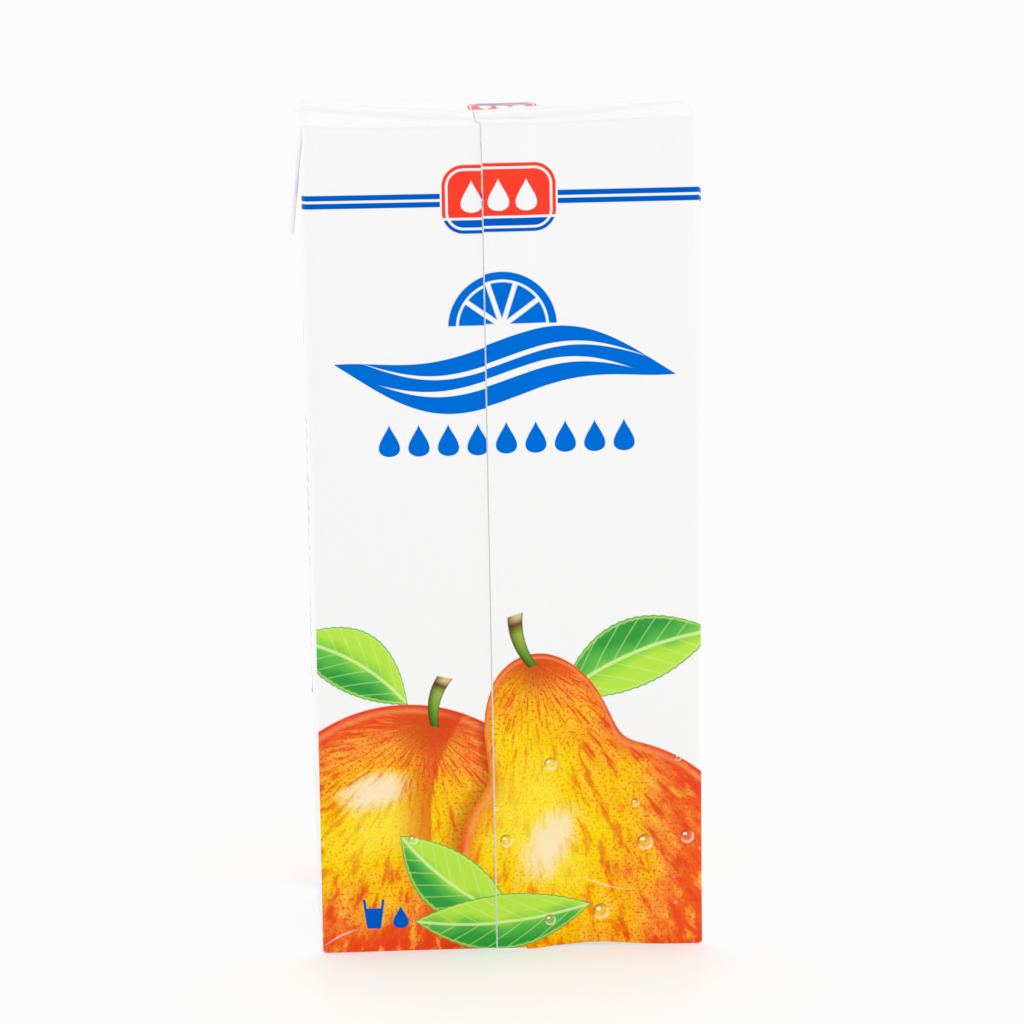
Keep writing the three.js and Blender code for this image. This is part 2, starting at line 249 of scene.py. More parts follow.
class Form:
    """Shape of the filled pack, worked out from the user's sizes, in metres."""

    def __init__(self, sizes):
        self.half_width = sizes.width / 2
        self.half_depth = sizes.depth / 2
        self.height = sizes.height
        self.doubled = 2 * sizes.board
        self.fin_width = sizes.fin_width
        self.ear_drop = sizes.ear_drop

    def along(self, x):
        """0 in the middle of the wide panels and 1 at their ends."""
        return min(1, abs(x) / self.half_width)

    def across(self, y):
        """0 in the middle of the narrow panels and 1 at their ends."""
        return min(1, abs(y) / self.half_depth)

    def roof_offset(self, x, y):
        """Height of the roof over the plane of its rim."""
        end = self.along(x)
        reach = ROOF_DIP_REACH[-1 if x < 0 else 1]
        dip = ROOF_DIP * (1 - min(1, abs(x) / reach) ** ROOF_DIP_POWER)
        if y < 0:
            rim = FRONT_RIM_SLANT * x * (1 - end ** 6) / self.half_width * self.across(y)
            rim -= FRONT_RIM_SAG * (1 - end ** 2)
        else:
            rim = -BACK_RIM_SAG * (1 - end ** 2)
        return rim - dip * (1 - self.across(y))

    def base_offset(self, x, y):
        """Height of the base panel over the ground."""
        lifted = 1 - self.along(x) ** 2
        hem = HEM_LIFT * lifted
        if y < 0:
            hem += HEM_KINK_LIFT * exp(-(((x - HEM_KINK_X) / HEM_KINK_SPREAD) ** 2))
        panel = blend(self.doubled, BASE_TUCK, lifted)
        tucked = ease(0, TUCK_REACH, self.half_width - abs(x))
        return tucked * blend(panel, hem, ease(0.3, 0.94, self.across(y)))

    def flare(self, x, y, z):
        """How far the front's upright creases spread sideways, most of all a little under the roof."""
        rise = ease(FLARE_FROM[-1 if x < 0 else 1], FLARE_HEIGHT, z)
        kept = 1 - FLARE_LOST_AT_RIM * ease(FLARE_HEIGHT, self.height, z)
        front = ease(self.half_depth, -self.half_depth, y)
        return CORNER_FLARE * rise * kept * front * self.along(x) ** 4

    def seam_x(self, z):
        return blend(SEAM_FOOT_X, SEAM_TOP_X, z / self.height)

    def seam_relief(self, distance):
        """Height of the overlap at a distance to the right of its edge."""
        for (left, low), (right, high) in zip(SEAM_PROFILE, SEAM_PROFILE[1:]):
            if left <= distance <= right:
                return blend(low, high, (distance - left) / (right - left))
        return 0

    def settle(self, place, normal):
        """Where a point of the plain box lies once the pack is filled and sealed."""
        x, y, z = place
        level = min(1, max(0, z / self.height))
        swell = sin(pi * level) ** 0.7
        moved = place.copy()
        facing = ease(0.9, 1, self.across(y))
        moved.y += (1 if y > 0 else -1) * WIDE_BULGE * swell * (1 - self.along(x) ** 2) * facing
        facing = ease(0.9, 1, self.along(x))
        down = self.height - z
        pressed = ease(self.ear_drop + RIM_FADE, self.ear_drop, down) * ease(0, RIM_RADIUS, down)
        fullness = NARROW_BULGE * swell * (1 - pressed) - EAR_PRESS * pressed
        outward = fullness * (1 - self.across(y) ** 2) * facing + self.flare(x, y, z)
        moved.x += (1 if x > 0 else -1) * outward
        moved += normal * WAVINESS * swell * noise.noise(place / WAVE_LENGTH)
        moved.z += self.roof_offset(x, y) * ease(self.height - RIM_FADE, self.height, z)
        moved.z += self.base_offset(x, y) * (1 - ease(0, RIM_FADE, z))
        if y < -UPRIGHT_RADIUS:
            moved += normal * self.seam_relief(x - self.seam_x(z))
        if y < -self.half_depth + UPRIGHT_RADIUS:
            for start, end, depth, half in FRONT_DENTS:
                moved.y += depth * exp(-((distance_to_line((x, z), start, end) / half) ** 2))
        moved.z = max(0, moved.z)
        return moved

    def ear_bend(self, side):
        """Angle that an ear turns through, from level to hanging."""
        return radians(90 - EAR_LIFT[side])

    def over_rim(self, side, run, radius):
        """Place and outward direction, as (x, z), at a run over the rim and down the ear."""
        whole = self.ear_bend(side)
        turned = min(max(0, run / EAR_BEND_RADIUS), whole)
        out = Vector((side * sin(turned), cos(turned)))
        down = Vector((side * cos(turned), -sin(turned)))
        bend = Vector((side * EAR_BEND_X, self.height - EAR_BEND_RADIUS))
        straight = max(0, run - EAR_BEND_RADIUS * whole) + min(0, run)
        return bend + out * radius + down * straight, out

    def ear_run(self, side):
        """Length from the start of the bend to the tip of an ear."""
        return EAR_BEND_RADIUS * self.ear_bend(side) + self.ear_drop - EAR_BEND_RADIUS - EAR_SHORTER


def blend(low, high, share):
    return low + (high - low) * share


def ease(low, high, value):
    """0 below low, 1 above high, and a smooth step between them."""
    share = min(1, max(0, (value - low) / (high - low)))
    return share * share * (3 - 2 * share)


def distance_to_line(place, start, end):
    """Distance in a plane from a place to the line between start and end."""
    way = (end[0] - start[0], end[1] - start[1])
    length = hypot(*way)
    run = ((place[0] - start[0]) * way[0] + (place[1] - start[1]) * way[1]) / length ** 2
    run = min(1, max(0, run))
    return hypot(place[0] - start[0] - run * way[0], place[1] - start[1] - run * way[1])


def spaced(low, high, step):
    """Places from low to high, evenly spaced and about a step apart."""
    count = max(1, round((high - low) / step))
    return [blend(low, high, i / count) for i in range(count + 1)]


# Modelling

def new_block(name, low, high):
    """A block between two corners, alone selected and open in edit mode."""
    bpy.ops.object.select_all(action="DESELECT")
    centre = (Vector(low) + Vector(high)) / 2
    bpy.ops.mesh.primitive_cube_add(size=1, location=centre, scale=Vector(high) - Vector(low))
    piece = bpy.context.active_object
    piece.name = name
    piece.data.name = name
    bpy.ops.object.transform_apply(location=True, rotation=True, scale=True)
    bpy.ops.object.mode_set(mode="EDIT")
    return piece


def pick(piece, kind, wanted):
    """Selects the faces or edges for which wanted says yes, from their middle and direction."""
    bpy.ops.mesh.select_mode(type=kind)
    bpy.ops.mesh.select_all(action="DESELECT")
    mesh = bmesh.from_edit_mesh(piece.data)
    for face in mesh.faces if kind == "FACE" else ():
        face.select_set(wanted(face.calc_center_median(), face.normal))
    for edge in mesh.edges if kind == "EDGE" else ():
        start, end = (vertex.co for vertex in edge.verts)
        edge.select_set(wanted((start + end) / 2, (end - start).normalized()))
    bmesh.update_edit_mesh(piece.data)


def cut(place, normal, **settings):
    """Cuts the mesh in edit mode along a plane."""
    bpy.ops.mesh.select_all(action="SELECT")
    bpy.ops.mesh.bisect(plane_co=place, plane_no=normal, **settings)


def cut_rows(axis, places):
    """Cuts the mesh in edit mode square to an axis at each of the places."""
    way = Vector((0, 0, 0))
    way[axis] = 1
    for place in places:
        cut(way * place, way)


def move_points(piece, rule):
    """Moves each point by a rule that takes its place and its normal."""
    bpy.ops.object.mode_set(mode="OBJECT")
    moved = [rule(vertex.co.copy(), vertex.normal.copy()) for vertex in piece.data.vertices]
    for vertex, place in zip(piece.data.vertices, moved):
        vertex.co = place
    piece.data.update()


def trim_flap(piece, root, tip, reach):
    """Cuts a block in edit mode to a triangle between its root and its tip, with folded edges."""
    for end in (-1, 1):
        slope = Vector((tip - root, (EAR_TIP - reach) * end, 0))
        normal = Vector((-slope.y, slope.x, 0))
        normal *= 1 if normal.y * end > 0 else -1
        cut((root, reach * end, 0), normal, use_fill=True, clear_outer=True)
    pick(piece, "EDGE", lambda middle, way: 0.05 < abs(way.x) < 0.95 and abs(way.z) < 0.1)
    bpy.ops.mesh.bevel(offset=FOLD_RADIUS, segments=3)


def finish_piece(piece, materials, slots=()):
    """Gives a piece its materials and smooth faces. slots pairs a material with the faces it takes."""
    bpy.ops.object.mode_set(mode="EDIT")
    bpy.ops.mesh.select_all(action="SELECT")
    bpy.ops.mesh.remove_doubles(threshold=0.001 * MM)
    bpy.ops.mesh.normals_make_consistent(inside=False)
    for material in materials:
        piece.data.materials.append(material)
    for index, wanted in slots:
        pick(piece, "FACE", wanted)
        piece.active_material_index = index
        bpy.ops.object.material_slot_assign()
    bpy.ops.object.mode_set(mode="OBJECT")
    bpy.ops.object.shade_smooth_by_angle(angle=radians(32))
    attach(piece, "root")
    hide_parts("carton")


# Print: colours and masks drawn by nodes, on a point in millimetres across and up a panel

USUAL_SETTINGS = {"Mix": {"data_type": "RGBA"}, "Mapping": {"vector_type": "TEXTURE"}}


def add(tree, kind, *inputs, stops=(), **settings):
    """Adds a node with its settings, its inputs in order as values or links, and a ramp's stops."""
    node = tree.nodes.new("ShaderNode" + kind)
    for name, value in {**USUAL_SETTINGS.get(kind, {}), **settings}.items():
        setattr(node, name, value)
    for socket, value in zip([socket for socket in node.inputs if socket.enabled], inputs):
        if isinstance(value, bpy.types.NodeSocket):
            tree.links.new(value, socket)
        else:
            socket.default_value = linear(value)
    for index, (position, colour) in enumerate(stops):
        elements = node.color_ramp.elements
        element = elements[index] if index < 2 else elements.new(position)
        element.position = position
        element.color = linear(colour)
    return next(socket for socket in node.outputs if socket.enabled)


def panel_point(tree, across, sign=1, up=2):
    """Millimetres across and up a panel, from the piece's own coordinates."""
    place = add(tree, "SeparateXYZ", add(tree, "TexCoord").node.outputs["Object"]).node.outputs
    right = add(tree, "Math", place[across], sign * 1000, operation="MULTIPLY")
    above = add(tree, "Math", place[up], 1000, operation="MULTIPLY")
    return add(tree, "CombineXYZ", right, above, 0.0)


def bent_axes(tree, point, centre, size, turn=0, curl=0):
    """How far along and how far beside a bent line a point lies, as shares of the motif's size."""
    own = add(tree, "Mapping", point, *placed(centre, size, turn))
    along, beside = add(tree, "SeparateXYZ", own).node.outputs[:2]
    square = add(tree, "Math", along, along, operation="MULTIPLY")
    return along, add(tree, "Math", square, curl, beside, operation="MULTIPLY_ADD"), square


def placed(centre, size=(1, 1), turn=0):
    """A motif's place, turn and size on its panel, as a Mapping node takes them."""
    return (*centre, 0), (0, 0, radians(turn)), (*size, 1)


def ellipse(tree, point, centre, size, turn=0):
    """Distance from the middle of an ellipse, 1 at its outline."""
    own = add(tree, "Mapping", point, *placed(centre, size, turn))
    return add(tree, "VectorMath", own, operation="LENGTH")


def apart(tree, value, middle):
    """How far a value is from a middle value, either way."""
    offset = add(tree, "Math", value, middle, operation="SUBTRACT")
    return add(tree, "Math", offset, operation="ABSOLUTE")


def tint(tree, art, value, low, high, share, ink, **settings):
    """Lays ink over the art, from none where a value is low to a share where it is high."""
    cover = add(tree, "MapRange", value, low, high, 0.0, share, **settings)
    return add(tree, "Mix", cover, art, ink)


def leaf(tree, art, point, centre, size, turn, curl, tone, colours):
    """A pointed leaf: a light and a deep half, a midrib, slanting veins and a fine pale rim."""
    along, beside, square = bent_axes(tree, point, centre, size, turn, curl)
    side = add(tree, "Math", beside, operation="ABSOLUTE")
    teeth = add(tree, "Math", along, 0.05, operation="PINGPONG")
    outline = add(tree, "Math", teeth, 0.5, square, operation="MULTIPLY_ADD")
    outline = add(tree, "Math", outline, side, operation="ADD")
    shade = add(tree, "Math", beside, 0.85, tone, operation="MULTIPLY_ADD")
    stops = (0.25, "#B9E84E"), (0.42, colours.leaf_light), (0.62, "#63C052"), (0.95, colours.leaf_deep)
    blade = add(tree, "ValToRGB", shade, stops=stops)
    slant = add(tree, "Math", side, -0.55, along, operation="MULTIPLY_ADD")
    vein = add(tree, "Math", slant, 0.13, operation="PINGPONG")
    vein = add(tree, "MapRange", vein, 0.022, 0.002, 0.0, 0.4)
    rib = add(tree, "MapRange", side, 0.07, 0.03, 0.0, 0.85)
    lines = add(tree, "Math", vein, rib, operation="MAXIMUM")
    blade = add(tree, "Mix", lines, blade, "#DCF3A0")
    blade = tint(tree, blade, outline, 0.88, 0.93, 0.6, "#C9EE78")
    blade = tint(tree, blade, outline, 0.95, 0.99, 0.8, "#3C9A42")
    return tint(tree, art, outline, 1.02, 0.99, 1.0, blade)


def stalk(tree, art, point, centre, size, turn, curl, tone, colours):
    """A short bent stalk, green at its foot, brown towards its pale cut end, and dark on one side."""
    along, beside = bent_axes(tree, point, centre, size, turn, curl)[:2]
    thick = add(tree, "MapRange", along, -1.0, 1.0, 0.75, 1.35)
    beside = add(tree, "Math", beside, thick, operation="DIVIDE")
    side = add(tree, "Math", beside, operation="ABSOLUTE")
    length = add(tree, "Math", along, operation="ABSOLUTE")
    ripple = add(tree, "Math", tone, 0.5, along, operation="MULTIPLY_ADD")
    green = (0.0, "#3E7A2A"), (0.45, "#7FB03F"), (0.7, "#9DB552")
    stops = (*green, (0.86, colours.stalk), (0.97, "#D9C58A"))
    bark = add(tree, "ValToRGB", add(tree, "MapRange", ripple, -0.8, 1.2), stops=stops)
    bark = tint(tree, bark, beside, -0.1, 1.0, 0.75, "#3B2616")
    bark = tint(tree, bark, side, 0.7, 0.95, 0.7, "#4A3018")
    cover = add(tree, "MapRange", side, 1.1, 0.9)
    cover = add(tree, "Math", cover, add(tree, "MapRange", length, 1.03, 0.97), operation="MULTIPLY")
    return add(tree, "Mix", cover, art, bark)


def drop_mask(tree, own):
    """A drop with its tip up, 1 in half height."""
    across, above = add(tree, "SeparateXYZ", own).node.outputs[:2]
    square = add(tree, "Math", above, above, operation="MULTIPLY")
    left = add(tree, "Math", 1.0, square, operation="SUBTRACT", use_clamp=True)
    round_half = add(tree, "Math", left, operation="SQRT")
    taper = add(tree, "Math", 1.0, above, operation="SUBTRACT")
    half = add(tree, "Math", round_half, taper, operation="MULTIPLY")
    width = add(tree, "Math", across, operation="ABSOLUTE")
    outside = add(tree, "Math", half, -0.5, width, operation="MULTIPLY_ADD")
    return add(tree, "MapRange", outside, 0.0, -0.04)


def drop_row(tree, point, centre, pitch, half_height, count):
    """A level row of drops."""
    own = add(tree, "Mapping", point, *placed(centre))
    across, above = add(tree, "SeparateXYZ", own).node.outputs[:2]
    moved = add(tree, "Math", across, 0 if count % 2 else pitch / 2, operation="ADD")
    wrapped = add(tree, "Math", moved, -pitch / 2, pitch / 2, operation="WRAP")
    each = add(tree, "CombineXYZ", wrapped, above, 0.0)
    each = add(tree, "Mapping", each, *placed((0, 0), (half_height, half_height)))
    width = add(tree, "Math", across, operation="ABSOLUTE")
    room = add(tree, "Math", width, count * pitch / 2, operation="LESS_THAN")
    return add(tree, "Math", drop_mask(tree, each), room, operation="MULTIPLY")


def ribbon_mask(tree, point, half_length, half_height, lift=0.0):
    """A wavy ribbon that narrows to a point at both ends."""
    own = add(tree, "Mapping", point, *placed((RIBBON[0], RIBBON[1] + lift)))
    across, above = add(tree, "SeparateXYZ", own).node.outputs[:2]
    phase = add(tree, "Math", across, 2 * pi / RIBBON_WAVE[1], operation="MULTIPLY")
    curve = add(tree, "Math", phase, operation="SINE")
    away = add(tree, "Math", curve, -RIBBON_WAVE[0], above, operation="MULTIPLY_ADD")
    away = add(tree, "Math", away, operation="ABSOLUTE")
    run = add(tree, "Math", across, half_length, operation="DIVIDE")
    run = add(tree, "Math", run, run, operation="MULTIPLY")
    half = add(tree, "Math", run, half_height, away, operation="MULTIPLY_ADD")
    return add(tree, "MapRange", half, half_height + 0.06, half_height - 0.06)


def half_slice_mask(tree, point):
    """Half a slice of citrus: a rim over five wedges, lying on its cut side."""
    own = add(tree, "Mapping", point, *placed(HALF_SLICE, (HALF_SLICE_RADIUS, HALF_SLICE_RADIUS)))
    across, above = add(tree, "SeparateXYZ", own).node.outputs[:2]
    radius = add(tree, "VectorMath", own, operation="LENGTH")
    angle = add(tree, "Math", above, across, operation="ARCTAN2")
    wedge = add(tree, "Math", angle, pi / 10, operation="PINGPONG")
    aside = add(tree, "Math", wedge, radius, operation="MULTIPLY")
    flesh = add(tree, "MapRange", aside, 0.035, 0.055)
    flesh = add(tree, "Math", flesh, add(tree, "MapRange", radius, 0.82, 0.8), operation="MULTIPLY")
    peel = add(tree, "MapRange", apart(tree, radius, 0.93), 0.08, 0.065)
    slice_mask = add(tree, "Math", flesh, peel, operation="MAXIMUM")
    return add(tree, "Math", slice_mask, add(tree, "MapRange", above, 0.03, 0.05), operation="MULTIPLY")


def glass_mask(tree, point):
    """A small tumbler, full to three quarters, with a drop beside it."""
    own = add(tree, "Mapping", point, *placed(GLASS, (GLASS_HALF, GLASS_HALF)))
    across, above = add(tree, "SeparateXYZ", own).node.outputs[:2]
    width = add(tree, "Math", across, operation="ABSOLUTE")
    flare = add(tree, "Math", above, -0.14, width, operation="MULTIPLY_ADD")
    level = add(tree, "Math", above, operation="ABSOLUTE")
    body = add(tree, "MapRange", flare, 0.6, 0.56)
    body = add(tree, "Math", body, add(tree, "MapRange", level, 1.0, 0.96), operation="MULTIPLY")
    empty = add(tree, "MapRange", flare, 0.42, 0.38)
    empty = add(tree, "Math", empty, add(tree, "MapRange", above, 0.36, 0.4), operation="MULTIPLY")
    body = add(tree, "Math", body, empty, operation="SUBTRACT", use_clamp=True)
    own = add(tree, "Mapping", own, *placed((1.75, -0.2), (0.8, 0.8)))
    beside = drop_mask(tree, own)
    return add(tree, "Math", body, beside, operation="MAXIMUM")


def rounded_block(tree, own, half, corner):
    """Distance outwards from the core of a block with round corners."""
    sides = add(tree, "VectorMath", own, operation="ABSOLUTE")
    core = (half[0] - corner, half[1] - corner, 0)
    over = add(tree, "VectorMath", sides, core, operation="SUBTRACT")
    over = add(tree, "VectorMath", over, (0, 0, 0), operation="MAXIMUM")
    return add(tree, "VectorMath", over, operation="LENGTH")


def badge(tree, art, own, colours):
    """A red badge with a white ring and three drops, over a blue foot."""
    reach = rounded_block(tree, own, BADGE_HALF, BADGE_CORNER)
    height = add(tree, "SeparateXYZ", own).node.outputs[1]
    field = tint(tree, colours.badge, height, -4.6, -4.75, 1.0, colours.stripe)
    line = add(tree, "MapRange", apart(tree, height, -4.5), 0.34, 0.22)
    ring = add(tree, "MapRange", apart(tree, reach, BADGE_CORNER - 1.1), 0.36, 0.22)
    white = add(tree, "Math", line, ring, operation="MAXIMUM")
    white = add(tree, "Math", white, drop_row(tree, own, *BADGE_DROPS), operation="MAXIMUM")
    field = add(tree, "Mix", white, field, colours.board)
    return tint(tree, art, reach, BADGE_CORNER + 0.08, BADGE_CORNER - 0.08, 1.0, field)


def ripe_skin(tree, grain, lit, shine, rim, stalk_point, colours):
    """Airbrushed skin of a ripe fruit. lit is the distance from its yellow cheek, shine the distance
    from its highlight, rim is 1 at its outline, and stalk_point is the point as seen from its stalk."""
    across, below = add(tree, "SeparateXYZ", stalk_point).node.outputs[:2]
    angle = add(tree, "Math", across, below, operation="ARCTAN2")
    reach = add(tree, "VectorMath", stalk_point, operation="LENGTH")
    fan = add(tree, "CombineXYZ", angle, reach, 0.0)
    # Streaks are about 1.3 mm wide and 6 mm long, and run away from the stalk
    fan = add(tree, "Mapping", fan, (0, 0, 0), (0, 0, 0), (20, 5, 1), vector_type="POINT")
    streak = add(tree, "TexNoise", fan, 1.0, 2.5, 0.62)
    cloud = add(tree, "Math", grain[1], 0.5, operation="SUBTRACT")
    ripe = add(tree, "Math", cloud, 0.75, lit, operation="MULTIPLY_ADD")
    ripening = (0.1, "#FDE53C"), (0.32, colours.yellow), (0.5, "#FBBE1E")
    stops = (*ripening, (0.66, colours.orange), (0.82, "#F5642A"), (1.0, colours.red))
    skin = add(tree, "ValToRGB", add(tree, "MapRange", ripe, 0.0, 1.35), stops=stops)
    bare = add(tree, "MapRange", ripe, 0.15, 0.75, 0.25, 1.0)
    # Red dashes, yellow gleams between them, and fine red specks
    marks = (
        (streak, 0.51, 0.64, 0.9, "#E94B24"),
        (streak, 0.46, 0.32, 0.7, "#FFD24A"),
        (grain[0], 0.52, 0.66, 0.8, "#EA4F28"),
    )
    for value, low, high, share, ink in marks:
        mark = add(tree, "MapRange", value, low, high, 0.0, share)
        mark = add(tree, "Math", mark, bare, operation="MULTIPLY")
        skin = add(tree, "Mix", mark, skin, ink)
    mottle = add(tree, "Math", streak, 0.5, operation="SUBTRACT")
    mottle = add(tree, "Math", mottle, 0.9, shine, operation="MULTIPLY_ADD")
    # The highlight, the hollow at the stalk, and the redder skin that turns away at the outline
    shades = (
        (mottle, 1.0, 0.25, 0.9, colours.shine),
        (reach, 0.34, 0.05, 0.8, "#C8541C"),
        (rim, 0.8, 1.0, 0.7, "#E9452B"),
    )
    for shade in shades:
        skin = tint(tree, skin, *shade, interpolation_type="SMOOTHSTEP")
    return tint(tree, skin, apart(tree, rim, 0.955), 0.03, 0.0, 0.45, "#FFB070")


def dew(tree, art, point, where):
    """Water drops on the fruit: a dark upper edge, a bright lower side and a glint."""
    cells = add(tree, "TexVoronoi", point, 0.095, voronoi_dimensions="2D").node.outputs
    own = add(tree, "VectorMath", point, cells["Position"], operation="SUBTRACT")
    draw = add(tree, "SeparateColor", cells["Color"])
    size = add(tree, "MapRange", draw, 0.55, 1.0, 0.001, 1.9)
    own = add(tree, "VectorMath", own, add(tree, "CombineXYZ", size, size, 1.0), operation="DIVIDE")
    radius = add(tree, "VectorMath", own, operation="LENGTH")
    wet = add(tree, "MapRange", radius, 1.06, 0.94)
    wet = add(tree, "Math", wet, where, operation="MULTIPLY")
    slope = add(tree, "VectorMath", own, (-0.5, 0.86, 0), operation="DOT_PRODUCT")
    edge = add(tree, "MapRange", radius, 0.55, 1.0, 0.1, 0.85)
    stops = (0.0, "#FFFBEA"), (0.4, "#FFE3B0"), (0.65, "#D08A4C"), (1.0, "#8F3E22")
    tone = add(tree, "ValToRGB", add(tree, "MapRange", slope, -1.0, 1.0), stops=stops)
    body = add(tree, "Math", wet, edge, operation="MULTIPLY")
    art = add(tree, "Mix", body, art, tone)
    glint = add(tree, "MapRange", ellipse(tree, own, (-0.3, 0.35), (0.28, 0.2)), 1.2, 0.8)
    glint = add(tree, "Math", glint, wet, operation="MULTIPLY")
    return add(tree, "Mix", glint, art, "#FFFFFF")


def scuff(tree, art, point, centre, size, turn, curl, share, colours):
    """A crease along which the ink has cracked and the white board shows."""
    beside, square = bent_axes(tree, point, centre, size, turn, curl)[1:]
    outline = add(tree, "Math", add(tree, "Math", beside, operation="ABSOLUTE"), square, operation="ADD")
    return tint(tree, art, outline, 1.0, 0.2, share, colours.board)


def fruit_art(tree, art, point, colours):
    """A round fruit behind a leaning pear, with leaves, stalks and dew."""
    # Fine grain of about 0.6 mm, and clouds of about 12 mm, shared by the whole picture
    fine = add(tree, "TexNoise", point, 1.5, 1.0, 0.6)
    clouds = add(tree, "TexNoise", point, 0.085, 1.0, 0.5)
    grain = (fine, clouds)
    for motif in LEAVES_BEHIND:
        art = leaf(tree, art, point, *motif, clouds, colours)

    own = add(tree, "Mapping", point, *placed(*ROUND_FRUIT))
    rim = add(tree, "VectorMath", own, operation="LENGTH")
    lit = ellipse(tree, own, (-0.15, 0.1), (0.86, 0.66), 25)
    shine = ellipse(tree, own, (-0.22, 0.38), (0.3, 0.17), 18)
    stalk_point = add(tree, "Mapping", own, *placed((0.14, 0.86), (1, 1), 180))
    skin = ripe_skin(tree, grain, lit, shine, rim, stalk_point, colours)
    fold = ellipse(tree, own, (1.3, 0.15), (1.16, 1.3))
    soft = add(tree, "MapRange", fold, 1.25, 1.0, 0.0, 0.7, interpolation_type="SMOOTHSTEP")
    crisp = add(tree, "MapRange", fold, 0.985, 1.0)
    crease = add(tree, "Math", soft, crisp, operation="MULTIPLY")
    skin = add(tree, "Mix", crease, skin, "#DD3F22")
    round_cover = add(tree, "MapRange", rim, 1.004, 0.996)
    art = add(tree, "Mix", round_cover, art, skin)
    art = stalk(tree, art, point, *ROUND_STALK, clouds, colours)

    body = ellipse(tree, point, *PEAR_BODY)
    rim = add(tree, "Math", body, ellipse(tree, point, *PEAR_NECK), 0.45, operation="SMOOTH_MIN")
    lit = ellipse(tree, point, (6, 30), (32, 44), 20)
    shine = ellipse(tree, point, (9, 25), (12, 6.5), 62)
    stalk_point = add(tree, "Mapping", point, *placed((5.5, 69.5), (36, 36), 180))
    skin = ripe_skin(tree, grain, lit, shine, rim, stalk_point, colours)
    shade = add(tree, "MapRange", rim, 1.16, 0.99, 0.0, 0.55, interpolation_type="SMOOTHSTEP")
    shade = add(tree, "Math", shade, round_cover, operation="MULTIPLY")
    art = add(tree, "Mix", shade, art, "#9E2C18")
    pear_cover = add(tree, "MapRange", rim, 1.004, 0.996)
    art = add(tree, "Mix", pear_cover, art, skin)
    art = stalk(tree, art, point, *PEAR_STALK, clouds, colours)

    for motif in LEAVES_BEFORE:
        art = leaf(tree, art, point, *motif, clouds, colours)
    wet = add(tree, "Math", round_cover, pear_cover, operation="MAXIMUM")
    away = add(tree, "MapRange", ellipse(tree, point, *DRY_ROUND_GLASS), 1.0, 1.1)
    wet = add(tree, "Math", wet, away, operation="MULTIPLY")
    return dew(tree, art, point, wet)


def wide_print(tree, colours, sign, overlapped):
    """Print of a wide panel: stripes, badge, half slice, ribbon, drops and fruit."""
    point = panel_point(tree, 0, sign)
    if overlapped:
        skew = (SEAM_FOOT_X - SEAM_TOP_X) / (PANEL_HEIGHT * MM)
        run = add(tree, "VectorMath", point, (1, skew, 0), operation="DOT_PRODUCT")
        right = add(tree, "Math", run, SEAM_FOOT_X / MM, operation="GREATER_THAN")
        slip = add(tree, "VectorMath", PRINT_SLIP, right, operation="SCALE")
        point = add(tree, "VectorMath", point, slip, operation="ADD")
    art = stripes(tree, colours.board, point, colours, STRIPE_BREAK)
    art = badge(tree, art, add(tree, "Mapping", point, *placed(BADGE)), colours)
    ribbon = ribbon_mask(tree, point, *RIBBON_HALF)
    title = add(tree, "Math", half_slice_mask(tree, point), ribbon, operation="MAXIMUM")
    for sizes in RIBBON_LINES:
        line = ribbon_mask(tree, point, *sizes)
        title = add(tree, "Math", title, line, operation="SUBTRACT", use_clamp=True)
    title = add(tree, "Math", title, drop_row(tree, point, *WIDE_DROPS), operation="MAXIMUM")
    art = add(tree, "Mix", title, art, colours.title)
    art = fruit_art(tree, art, point, colours)
    art = add(tree, "Mix", glass_mask(tree, point), art, colours.stripe)
    for crease in SCUFFS:
        art = scuff(tree, art, point, *crease, colours)
    return art


def stripes(tree, art, point, colours, opening):
    """Two thin blue stripes round the pack, open behind the badge or under an ear."""
    across, above = add(tree, "SeparateXYZ", point).node.outputs[:2]
    middle = (STRIPES_UP[0] + STRIPES_UP[1]) / 2
    away = apart(tree, apart(tree, above, middle), (STRIPES_UP[0] - STRIPES_UP[1]) / 2)
    band = add(tree, "MapRange", away, STRIPE_HALF + 0.06, STRIPE_HALF - 0.06)
    beside = add(tree, "Math", apart(tree, across, BADGE[0]), opening, operation="GREATER_THAN")
    band = add(tree, "Math", band, beside, operation="MULTIPLY")
    return add(tree, "Mix", band, art, colours.stripe)


